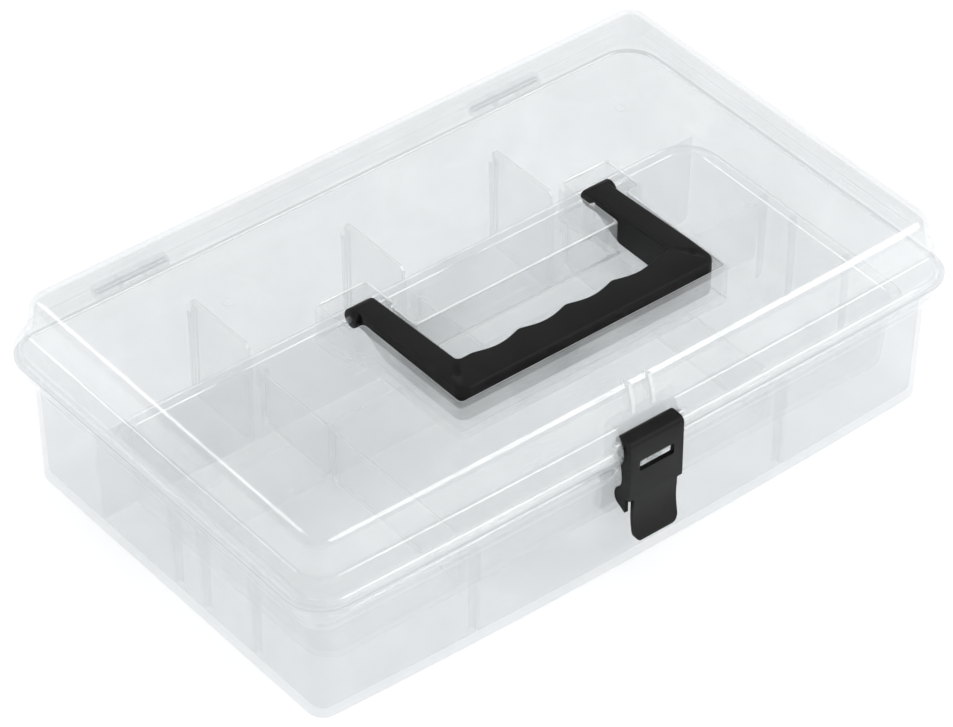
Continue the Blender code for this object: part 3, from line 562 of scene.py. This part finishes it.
handle = {
    "width": 0.1264, "reach": 0.0643, "gripInner": 0.0485, "arm": 0.0107, "height": 0.0165,
    "proud": 0.0026, "pivotY": 0.0010, "pivotDrop": 0.0037, "riseStart": 0.0190, "barrel": 0.0040,
    "barrelLong": 0.0018, "boss": 0.0013, "bossReach": 0.0060, "pitch": 0.0230, "scoop": 0.0025,
    "scallops": 4,
}
recess = {"gap": 0.0018, "depth": 0.0160, "wall": 0.0020, "wellBack": 0.0205, "pocketBack": 0.0118,
          "pocketFront": 0.0074, "pocketSide": 0.0067}
gates = {"radius": 0.0022, "rise": 0.0005, "x": 0.0980, "front": -0.0440, "back": 0.0345}

pivotY, pivotZ = handle["pivotY"], topZ - handle["pivotDrop"]
handleTop = topZ + handle["proud"]
handleBottom = handleTop - handle["height"]
recessZ = topZ - recess["depth"]
recessX = handle["width"] / 2 + recess["gap"]
recessFront = -(handle["reach"] + recess["gap"])
armInner = handle["width"] / 2 - handle["arm"]
pocketX = handle["width"] / 2 + handle["barrelLong"] + recess["pocketSide"]


def lidOuter():
    # outset, height and front lean: band, shoulder, upright side, crest and flat top
    r, side, slope = tub["overhang"], lidZ + 0.0125, lid["frontSlope"]
    band = throughRows([(r - 0.0005, lidZ, 0), (r - 0.0001, lidZ + 0.0006, 0),
                        (r + 0.0001, lidZ + 0.0016, 0),
                        (r - 0.0001, lidZ + 0.0033, 0), (r * 0.84, lidZ + 0.0063, 0),
                        (r * 0.58, lidZ + 0.0093, 0),
                        (r * 0.35, lidZ + 0.0119, 0), (r * 0.22, side, 0)], 3)
    crest = throughRows([(0.0006, topZ - 0.0105, slope * 0.2), (0.0002, topZ - 0.0085, slope * 0.27),
                         (-0.0020, topZ - 0.0052, slope * 0.55), (-0.0057, topZ - 0.0032, slope * 0.78),
                         (-0.0095, topZ - 0.0016, slope * 0.9), (-0.0145, topZ - 0.0005, slope * 0.98),
                         (-0.0200, topZ, slope)], 5)
    return np.vstack([band, crest])


def lidInner():
    r, t, side, slope = tub["overhang"], lid["thick"], lidZ + 0.0125, lid["frontSlope"]
    top = topZ - t
    crest = throughRows([(-0.0205, top, slope), (-0.0152, top - 0.0004, slope * 0.98),
                         (-0.0106, top - 0.0014, slope * 0.9), (-0.0072, top - 0.0029, slope * 0.78),
                         (-0.0039, top - 0.0046, slope * 0.55), (-0.0018, top - 0.0070, slope * 0.27)], 4)
    band = [(r * 0.22 - t, side - 0.0003, 0), (r * 0.35 - t * 1.1, lidZ + 0.0107, 0),
            (r * 0.58 - t * 1.15, lidZ + 0.0080, 0), (r * 0.84 - t * 1.1, lidZ + 0.0052, 0),
            (r - lid["edge"], lidZ + 0.0028, 0), (r - lid["edge"], lidZ, 0)]
    return np.vstack([crest, band])


def recessPlan(grow, corner):
    # plan of the sunk area: grip and finger well, two arm slots and two pivot pockets
    inner = armInner - recess["gap"] + 0.0001 - grow
    tuck = inner - 0.0015
    front, back = recessFront - grow, recess["pocketBack"] + grow
    notch = -recess["pocketFront"] - grow
    well = -recess["wellBack"] + grow
    right = [(recessX + grow, front), (recessX + grow, notch), (pocketX + grow, notch),
             (pocketX + grow, back),
             (tuck, back), (tuck, -recess["pocketFront"] + 0.001 + grow),
             (inner, -recess["pocketFront"] + 0.001 + grow),
             (inner, well)]
    plan = right + [(-x, y) for x, y in reversed(right)]
    return roundOutline(plan, corner, 5)


def layered(name, layers, slots, materials):
    # outlines of one count piled at their own heights
    stack = np.stack([np.column_stack([plan, np.full(len(plan), z)]) for plan, z in layers])
    return stackSolid(name, stack, materials, slots, 50)


def makeLid():
    outer, inner = lidOuter(), lidInner()
    rows = np.vstack([inner, outer])
    slots = np.zeros(len(rows) - 1, int)
    # the lower edge band takes the edge-highlight copy: painted highlight
    slots[len(inner) - 1] = 1
    stack = ringStack(rows[:, 0], rows[:, 1], tub["bowHigh"], rows[:, 2], (halfX, halfY), tub["corner"])
    shell = stackSolid("lidDome", stack, clearPair, slots)

    w = recess["wall"]
    # the pan and hollow put their lip and floor-edge bands in the edge-highlight copy: painted highlight
    # lines
    pan = layered("pan", [(recessPlan(w - 0.0006, 0.0022), recessZ - w),
                          (recessPlan(w - 0.0001, 0.0027), recessZ - w + 0.0003),
                          (recessPlan(w, 0.0028), recessZ - w + 0.0009),
                          (recessPlan(w, 0.0028), topZ - lid["thick"] / 2)],
                  [1, 1, 0], clearPair)
    hollow = layered("hollow", [(recessPlan(-0.0008, 0.0010), recessZ),
                                (recessPlan(-0.0002, 0.0012), recessZ + 0.0002),
                                (recessPlan(0.0, 0.0014), recessZ + 0.0008),
                                (recessPlan(0.0, 0.0014), topZ - 0.0010),
                                (recessPlan(0.00012, 0.0015), topZ - 0.0006),
                                (recessPlan(0.0004, 0.0018), topZ - 0.0002),
                                (recessPlan(0.0010, 0.0024), topZ + 0.0001),
                                (recessPlan(0.0012, 0.0026), topZ + 0.006)],
                     [1, 1, 0, 1, 1, 1, 0], clearPair)
    bosses = [rod("boss", s * (handle["width"] / 2 + handle["barrelLong"] - handle["bossReach"]),
                  s * (pocketX + w / 2),
                  pivotY, pivotZ, handle["boss"], clearPair, 32, 0.0003) for s in (-1, 1)]

    block = blocks("block", [((-notchX - latch["notchWall"], bandY - 0.004, lidZ + 0.0004),
                              (notchX + latch["notchWall"], notchY + latch["notchWall"],
                               notchTop + 0.002))], clearPair)
    block = carve(block, ("INTERSECT", hull("lidHull", outer, tub["bowHigh"], -0.0003)))
    notch = blocks("notch", [((-notchX, bandY - 0.01, lidZ - 0.004), (notchX, notchY, notchTop))],
                   clearPair)
    pinBore = rod("pinBore", -notchX - 0.0042, notchX + 0.0042, latchY, latchZ, latch["pinRadius"] + 0.0001,
                  clearPair)

    foot = notchY + 0.003
    ribSide = [(foot, notchTop + 0.0005), (notchY - 0.0008, notchTop + 0.0010),
               (notchY - 0.0008, notchTop + 0.0060),
               (notchY + 0.0020, topZ - 0.0058), (foot + 0.004, topZ - 0.0062)]
    # the small ribs are wholly in the edge-highlight copy: painted highlight
    ribs = [prism("rib", ribSide, "X", x - 0.0008, x + 0.0008, [edgeHighlightMat, edgeHighlightMat]) for x in (-0.005, 0.005)]

    angle = np.linspace(0, 2 * math.pi, 32, endpoint=False)
    marks = []
    for x in (-gates["x"], gates["x"]):
        for y in (gates["front"], gates["back"]):
            size = gates["radius"] * np.array([1, 1, 0.94, 0.80])
            high = topZ + gates["rise"] * np.array([-2.0, 0.2, 0.75, 1.0])
            disc = np.stack([x + size[:, None] * np.cos(angle), y + size[:, None] * np.sin(angle),
                             np.broadcast_to(high[:, None], (4, 32))], -1)
            # the ring round each gate mark takes the edge-highlight copy: painted highlight
            marks.append(stackSolid("mark", disc, clearPair, [0, 1, 0], 60))

    steps = [("UNION", pan), ("DIFFERENCE", hollow)] + [("UNION", b) for b in bosses]
    steps += [("UNION", block), ("DIFFERENCE", notch), ("DIFFERENCE", pinBore)]
    steps += [("UNION", r) for r in ribs] + [("UNION", m) for m in marks]
    for x1, x2 in hinges("lid"):
        steps.append(("UNION", knuckle("eye", x1, x2, lidZ + 0.00025, hingeZ + 0.0031,
                                       halfY + tub["overhang"] - 0.0015)))
    for x in (-1, 1):
        steps.append(("DIFFERENCE", rod("bore", x * hinge["spacing"] / 2 - 0.01,
                                        x * hinge["spacing"] / 2 + 0.01,
                                        hingeY, hingeZ, hinge["pin"], clearPair)))
    shell = carve(shell, *steps)
    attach(shell, "lid")
    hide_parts("lid_shell")
    print("lid made:", len(shell.data.polygons), "faces")


makeTub()
makeLid()


# lift-out tray

tray = {"depth": 0.0303, "wall": 0.0016, "draft": 0.0020, "rimReach": 0.0044, "rimThick": 0.0018,
        "sideGap": 0.0018, "frontGap": 0.0011, "corner": 0.0120, "fillet": 0.0015, "restGap": 0.0003,
        "wallPlace": 0.0020}
trayRimUnder = tub["partitionHeight"] + tray["restGap"]
trayTop = trayRimUnder + tray["rimThick"]
trayFloor = trayTop - tray["depth"]
trayX = halfX - tub["wall"] - tray["sideGap"]
trayFront = -(halfY - tub["wall"] - tray["frontGap"])
trayBack = partitionY + tub["partitionThick"] / 2 - dividers["slotGap"]


def trayStack(rows):
    # rings set in from the tray's outline: inset, height and plan radius
    rows = np.array(rows, float)
    reach = (trayX, (trayBack - trayFront) / 2)
    stack = ringStack(-rows[:, 0], rows[:, 1], 0.0, 0.0, reach, rows[:, 2] + rows[:, 0],
                      (trayFront + trayBack) / 2)
    return stack


def makeTray():
    body, lean, r, t, f = tray["rimReach"], tray["draft"], tray["corner"], tray["wall"], tray["fillet"]
    bend = np.radians(np.linspace(0, 90, 6))
    outerFoot = [(body + lean + 0.0016 * (1 - math.cos(a)), trayFloor + 0.0016 * (1 - math.sin(a)), r)
                 for a in bend[::-1]]
    rim = [(body, trayRimUnder, r), (0.0004, trayRimUnder, r + body),
           (0.0, trayRimUnder + 0.0004, r + body),
           (0.0, trayTop - 0.0005, r + body), (0.0005, trayTop, r + body),
           (body + t - 0.0004, trayTop, r - t),
           (body + t, trayTop - 0.0004, r - t)]
    innerFoot = [(body + lean + t + f * (1 - math.cos(a)), trayFloor + t + f * (1 - math.sin(a)),
                  r - t) for a in bend]
    rows = outerFoot + rim + innerFoot
    slots = np.zeros(len(rows) - 1, int)
    # rim bands take the edge-highlight copy: painted highlight
    slots[len(outerFoot) + 1:len(outerFoot) + 4] = 1
    slots[len(outerFoot) + 5] = 1
    shell = stackSolid("trayShell", trayStack(rows), clearPair, slots)
    low, high = trayFloor + t - 0.0006, trayTop - 0.0008
    half = trayX - body - t
    fill = stackSolid("trayFill", trayStack([(body + lean + 0.0005, trayFloor + 0.0003, r),
                                             (body + 0.0005, trayTop + 0.001, r)]),
                      clearPair)
    wall = blocks("trayWall", [((-half - 0.0005, -tray["wallPlace"] - t / 2, low),
                                (half + 0.0005, -tray["wallPlace"] + t / 2, high))], clearPair)
    wall = carve(wall, ("INTERSECT", fill))
    ribs = []
    gap = dividers["thick"] / 2 + dividers["slotGap"]
    inset = body + lean + t
    ends = {"front": (trayFront + inset, -tray["wallPlace"] - t / 2),
            "back": (-tray["wallPlace"] + t / 2, trayBack - inset)}
    for x in dividers["places"]:
        for row, (front, back) in ends.items():
            if row == "front" and abs(x) < 0.01:
                continue
            for side in (-1, 1):
                a, b = sorted((x + side * gap, x + side * (gap + tub["rib"])))
                ribs.append(((a, front - 0.0012, low + 0.0001), (b, front + tub["rib"], high - 0.002)))
                ribs.append(((a, back - tub["rib"], low + 0.0001), (b, back + 0.0012, high - 0.002)))
    shell = carve(shell, ("UNION", wall), ("UNION", blocks("trayRibs", ribs, clearPair)))
    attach(shell, "tray")
    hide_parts("lift_out_tray")
    print("tray made:", len(shell.data.polygons), "faces")


makeTray()


# handle

def makeHandle():
    # a U-shaped bar: paired points on the inner and outer outlines, with a rounded section between them
    hw, ease = handle["width"] / 2, 0.0012
    outerR, innerR = 0.0050, 0.0018
    r = handle["barrel"]
    rear = pivotY + r - 0.0002
    # left arm from its rear end to the corner, round it, then the grip to the middle; mirrored after that
    s = 1 - np.cos(np.linspace(0, math.pi / 2, 10))
    armY = np.concatenate([rear - 0.0062 * s, np.linspace(rear - 0.0062, -handle["gripInner"] + innerR,
                                                          14)[1:]])
    outY = np.concatenate([rear - 0.0062 * s, np.linspace(rear - 0.0062, -handle["reach"] + outerR,
                                                          14)[1:]])
    turn = np.radians(np.linspace(0, 90, 13))[1:]
    inArm = np.stack([np.full(len(armY), -armInner), armY], 1)
    outArm = np.stack([np.full(len(outY), -hw), outY], 1)
    inTurn = np.stack([-armInner + innerR * (1 - np.cos(turn)),
                       -handle["gripInner"] + innerR * (1 - np.sin(turn))], 1)
    outTurn = np.stack([-hw + outerR * (1 - np.cos(turn)), -handle["reach"] + outerR * (1 - np.sin(turn))],
                       1)
    gripX = np.linspace(-armInner + innerR, 0, 74)[1:]
    span = handle["scallops"] * handle["pitch"]
    share = (gripX + span / 2) / span
    wave = np.where((share > 0) & (share < 1), np.abs(np.sin(math.pi * share * handle["scallops"])), 0.0)
    wave = np.sqrt(wave ** 2 + 0.01) - 0.1
    inGrip = np.stack([gripX, -handle["gripInner"] - handle["scoop"] * wave], 1)
    outX = np.linspace(-hw + outerR, 0, 74)[1:]
    outGrip = np.stack([outX, np.full(len(outX), -handle["reach"])], 1)
    inHalf, outHalf = np.vstack([inArm, inTurn, inGrip]), np.vstack([outArm, outTurn, outGrip])
    flip = np.array([-1, 1])
    inner = np.vstack([inHalf, (inHalf[:-1] * flip)[::-1]])
    outer = np.vstack([outHalf, (outHalf[:-1] * flip)[::-1]])

    def sideways(line, sign):
        step = unit(np.gradient(line, axis=0))
        return np.stack([step[:, 1], -step[:, 0]], 1) * sign

    # into the material from each side
    fromInner, fromOuter = sideways(inner, 1), sideways(outer, -1)

    def endRound(y):
        # height of a circle about the pivot, behind it: r * sqrt(1 - ((y - pivot) / r)^2)
        return r * np.sqrt(1 - np.clip((y - pivotY) / r, 0, 1) ** 2 * 0.999)

    def topAt(y):
        # flat over the grip, one straight slope along the arm, then the end round
        slope = np.interp(y, [-handle["gripInner"], pivotY], [handleTop, pivotZ + r])
        return np.where(y > pivotY, pivotZ + endRound(y), slope)

    def bottomAt(y):
        # level under the grip, rising to the barrel, then the end round
        rise = np.interp(y, [pivotY - handle["riseStart"], pivotY - 0.006, pivotY],
                         [handleBottom, pivotZ - r * 0.85, pivotZ - r])
        return np.where(y > pivotY, pivotZ - endRound(y), rise)

    bend = np.radians(np.linspace(0, 90, 6))
    inset, rise = ease * (1 - np.sin(bend)), ease * (1 - np.cos(bend))
    section = []
    for line, push, order in ((outer, fromOuter, 1), (inner, fromInner, -1)):
        high, low = topAt(line[:, 1]), bottomAt(line[:, 1])
        side = [np.column_stack([line + push * a, low + b]) for a, b in zip(inset, rise)]
        side += [np.column_stack([line + push * a, high - b]) for a, b in zip(inset[::-1], rise[::-1])]
        section += side[::order]
    stack = np.stack(section, 1)
    bar = stackSolid("gripBar", stack, [blackMat], None, 50)
    steps = []
    for s in (-1, 1):
        far = hw + handle["barrelLong"]
        steps.append(("UNION", rod("barrel", s * (armInner + 0.002), s * far, pivotY, pivotZ, r + 0.00004,
                                   [blackMat], 40,
                                   0.0005)))
        steps.append(("DIFFERENCE", rod("bore", s * (far - handle["bossReach"] - 0.0004), s * (far + 0.001),
                                        pivotY,
                                        pivotZ, handle["boss"] + 0.0001, [blackMat], 32)))
        # shallow sprue dimple near each front corner
        angle = np.linspace(0, 2 * math.pi, 28, endpoint=False)
        size, high = np.array([0.0009, 0.0013, 0.0016, 0.0018]), handleTop + np.array([-0.0004, -0.00032,
                                                                                       0.0, 0.0004])
        dish = np.stack([s * 0.0580 + size[:, None] * np.cos(angle),
                         -0.0556 + size[:, None] * np.sin(angle),
                         np.broadcast_to(high[:, None], (4, 28))], -1)
        steps.append(("DIFFERENCE", stackSolid("dish", dish, [blackMat])))
    bar = carve(bar, *steps, smoothBelow=50)
    bar.name = "gripBar"
    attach(bar, "handle")
    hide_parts("carry_handle")
    print("handle made:", len(bar.data.polygons), "faces")


makeHandle()


# latch

def latchSide():
    # side view: round back over the pin, sloped hood, flat front, tongue that kicks out, lobed cheek
    y, z, r = latchY, latchZ, latch["barrel"]
    front, back = plateFront, plateBack
    a = np.radians(np.linspace(0, 90, 10))
    top = np.stack([y + r * np.cos(a), z + r * np.sin(a)], 1).tolist()
    top += [(front + 0.0024, z + r - 0.0001), (front + 0.0012, z + r - 0.0005),
            (front + 0.0004, z + r - 0.0013),
            (front, z + r - 0.0024)]
    down = throughRows([(front, z - 0.0235), (front + 0.0003, z - 0.0290), (front + 0.0004, z - 0.0330),
                        (front + 0.0001, z - 0.0380), (front - 0.0008, z - 0.0430),
                        (front - 0.0015, tongueZ + 0.0010)], 3).tolist()
    tip = [(front - 0.0014, tongueZ + 0.0003), (front - 0.0009, tongueZ), (front - 0.0002, tongueZ)]
    up = throughRows([(front + 0.0004, tongueZ + 0.0003), (front + 0.0012, z - 0.0430),
                      (back - 0.0003, z - 0.0385),
                      (back + 0.0002, z - 0.0330)], 3).tolist()
    edge = y + r
    lobe = throughRows([(edge - 0.0036, z - 0.0312), (edge - 0.0012, z - 0.0298),
                        (edge - 0.0001, z - 0.0270),
                        (edge - 0.0008, z - 0.0235), (edge - 0.0034, z - 0.0205),
                        (edge - 0.0038, z - 0.0140),
                        (edge - 0.0022, z - 0.0080), (edge - 0.0003, z - 0.0040)], 4).tolist()
    return np.array(top + down + tip + up + lobe)


def makeLatch():
    half = latch["width"] / 2
    m = [blackMat]
    body = prism("claspBody", latchSide(), "X", -half, half, m)
    inner = half - latch["cheek"]
    hollow = blocks("hollow", [((-inner, plateBack, tongueZ - 0.01),
                                (inner, latchY + 0.01, latchZ - latch["barrel"] - 0.0008))], m)
    w, h = latch["windowWide"] / 2, latch["windowHigh"] / 2
    window = prism("window", roundOutline([(-w, windowZ - h), (w, windowZ - h), (w, windowZ + h),
                                           (-w, windowZ + h)], 0.0007, 4),
                   "Y", plateFront - 0.01, plateBack + 0.001, m)
    tw, shoulder, low = latch["tongue"] / 2, latchZ - 0.0255, tongueZ - 0.004
    far = half + 0.002
    shape = roundOutline([(far, shoulder), (tw, shoulder), (tw, tongueZ - 0.0001), (-tw, tongueZ - 0.0001),
                          (-tw, shoulder),
                          (-far, shoulder), (-far, low), (far, low)],
                         [0, 0.0006, 0.0046, 0.0046, 0.0006, 0, 0, 0], 8)
    cut = prism("tongueCut", shape, "Y", plateFront - 0.01, plateBack + 0.0006, m)
    bore = rod("bore", -half - 0.002, half + 0.002, latchY, latchZ, latch["pinRadius"] + 0.0001, m, 32)
    body = carve(body, ("DIFFERENCE", hollow), ("DIFFERENCE", window), ("DIFFERENCE", cut),
                 ("DIFFERENCE", bore))
    eased(body, 0.00055, 3)
    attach(body, "latch")
    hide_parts("latch_hasp")
    print("latch made:", len(body.data.polygons), "faces")


makeLatch()


# carried-over plates and pins

for name, node in nodes.items():
    if "divider" in name:
        node.data.materials.clear()
        for m in clearPair:
            node.data.materials.append(m)
        # bevel faces go to the edge-highlight copy: painted highlight along the edges
        eased(node, 0.00035, 2, 1)
    elif "pin" in name:
        node.data.materials.clear()
        node.data.materials.append(steelMat)
        eased(node, 0.0002, 2)
print("plates and pins finished")


# floor, light and camera

studio = {"floor": (0.94, 0.94, 0.945), "floorGlow": 0.33, "sky": 0.64, "rightLight": 8.5, "backLight": 4.0}


def setPlace(obj, side, up, away, place):
    # three axes and a point as one matrix
    rows = np.column_stack([side, up, away, place]).tolist()
    obj.matrix_world = Matrix(rows + [[0.0, 0.0, 0.0, 1.0]])


def makeStudio():
    half = 6.0
    floor = meshObject("floor", np.array([(-half, -half, -0.0004), (half, -half, -0.0004),
                                          (half, half, -0.0004),
                                          (-half, half, -0.0004)]), [(0, 1, 2, 3)], [])
    mat = bpy.data.materials.new("paleFloor")
    mat.use_nodes = True
    shader = mat.node_tree.nodes["Principled BSDF"]
    shader.inputs["Base Color"].default_value = (*studio["floor"], 1)
    shader.inputs["Roughness"].default_value = 0.85
    shader.inputs["Specular IOR Level"].default_value = 0.1
    shader.inputs["Emission Color"].default_value = (1, 1, 1, 1)
    shader.inputs["Emission Strength"].default_value = studio["floorGlow"]
    floor.data.materials.append(mat)

    world = bpy.data.worlds.new("studio")
    bpy.context.scene.world = world
    world.use_nodes = True
    world.node_tree.nodes["Background"].inputs["Color"].default_value = (0.97, 0.985, 1.0, 1)
    world.node_tree.nodes["Background"].inputs["Strength"].default_value = studio["sky"]

    def softbox(name, place, size, power, aim=(0, 0, 0.04)):
        light = bpy.data.lights.new(name, "AREA")
        light.shape, light.size, light.size_y, light.energy = "RECTANGLE", size[0], size[1], power
        obj = bpy.data.objects.new(name, light)
        bpy.context.scene.collection.objects.link(obj)
        away = unit(np.array(place) - np.array(aim))
        side = unit(np.cross((0.0, 1.0, 0.0) if abs(away[2]) > 0.9 else (0.0, 0.0, 1.0), away))
        up = np.cross(away, side)
        setPlace(obj, side, up, away, place)

    # long narrow boxes, so that the lid's rounded edges each carry one thin bright line
    softbox("frontRight", (0.92, -1.18, 1.18), (1.0, 0.45), studio["rightLight"])
    softbox("backLeft", (-1.04, 1.13, 1.12), (0.8, 0.35), studio["backLight"])


def makeCamera():
    # long lens, three-quarter view from the front left; a slight roll
    place = np.array([-0.94296, -1.15111, 1.28745])
    aim = np.array([-0.00222, 0.00180, 0.03572])
    roll = math.radians(0.33)
    ahead = unit(aim - place)
    right = unit(np.cross(ahead, (0, 0, 1)))
    up = np.cross(right, ahead)
    turnedRight = right * math.cos(roll) + up * math.sin(roll)
    turnedUp = up * math.cos(roll) - right * math.sin(roll)
    data = bpy.data.cameras.new("camera")
    data.sensor_width, data.lens = 36.0, 4931.6 * 36.0 / 953.0
    data.clip_start, data.clip_end = 0.05, 50.0
    obj = bpy.data.objects.new("camera", data)
    bpy.context.scene.collection.objects.link(obj)
    setPlace(obj, turnedRight, turnedUp, -ahead, place)
    bpy.context.scene.camera = obj


makeStudio()
makeCamera()
scene = bpy.context.scene
scene.view_settings.view_transform = "Standard"
scene.cycles.transparent_max_bounces = 32
scene.cycles.max_bounces = 4
scene.cycles.diffuse_bounces = 2
scene.cycles.glossy_bounces = 2
print("studio and camera set")
